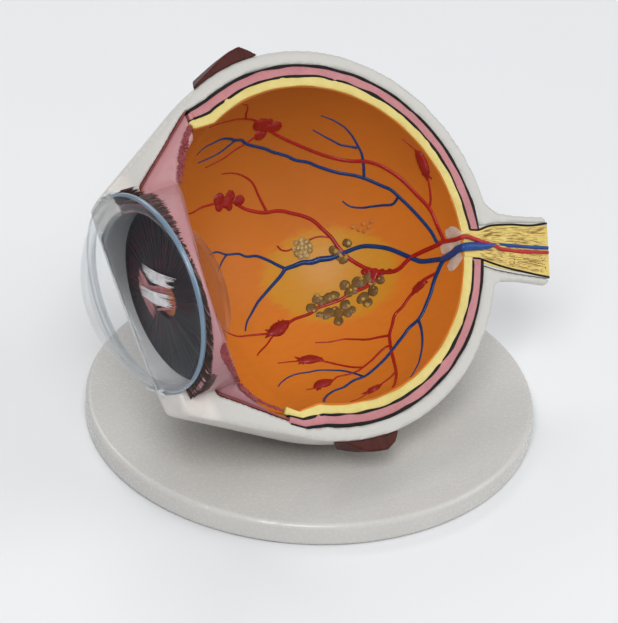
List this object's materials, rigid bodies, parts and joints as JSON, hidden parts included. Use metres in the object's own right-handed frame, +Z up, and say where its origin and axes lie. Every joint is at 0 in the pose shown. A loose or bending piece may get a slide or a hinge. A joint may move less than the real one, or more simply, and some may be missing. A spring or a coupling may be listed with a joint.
{
  "type": "eye anatomy model",
  "caption": "Desk model of an eye in section: a half bowl of coloured coats with raised vessels, optic nerve stub, lens, iris and clear domed front, swivelling on a round foot.",
  "frame": {"origin": "middle of the foot's lower face, which rests on the table", "axes": "+Z up; the front of the eye points along -X and the optic nerve along +X; the cut face looks towards -Y and up"},
  "size_m": [0.1249, 0.11, 0.0907],
  "materials": {
    "foot_resin": "polished, faintly translucent",
    "clear_film": "clear film",
    "screw_steel": "satin",
    "white_coat": "semi-gloss paint",
    "black_line": "hand-painted line",
    "pink_coat": "semi-gloss paint",
    "yellow_coat": "semi-gloss paint",
    "orange_lining": "satin paint",
    "macula_yellow": "glossy paint",
    "disc_pale": "glossy paint",
    "nerve_yellow": "brushed paint",
    "artery_red": "glossy relief paint",
    "vein_blue": "glossy relief paint",
    "ciliary_pink": "semi-gloss paint",
    "dark_red": "brushed paint",
    "iris_brown": "brushed dark paint",
    "clear_resin": "clear polished resin",
    "bead_ochre": "glossy relief paint",
    "tuft_gold": "glossy relief paint",
    "muscle_maroon": "grooved, matt paint"
  },
  "bodies": {
    "stand": {"foot_disc": "foot_resin", "label_film": "clear_film"},
    "eye": {"mounting_screw": "screw_steel", "sclera_shell": "white_coat", "suprachoroid_line": "black_line", "choroid_layer": "pink_coat", "pigment_line": "black_line", "retina_layer": "yellow_coat", "retina_lining": "orange_lining", "macula_patch": "macula_yellow", "optic_disc": "disc_pale", "nerve_core": "nerve_yellow", "nerve_line": "black_line", "central_artery": "artery_red", "central_vein": "vein_blue", "ciliary_body": "ciliary_pink", "ciliary_border": "dark_red", "ciliary_strips": "dark_red", "iris_disc": "iris_brown", "lens": "clear_resin", "cornea_dome": "clear_resin", "retinal_arteries": "artery_red", "retinal_veins": "vein_blue", "round_bleeds": "artery_red", "flame_bleeds": "artery_red", "exudate_beads": "bead_ochre", "vessel_tuft": "tuft_gold", "cotton_wool_spots": "tuft_gold", "superior_muscle": "muscle_maroon", "inferior_muscle": "muscle_maroon"}
  },
  "joints": [
    {"name": "eye_swivel", "type": "hinge", "parent": "stand", "child": "eye", "pos_m": [-0.002, -0.004, 0.006], "axis": [0, 0, 1], "continuous": true}
  ]
}
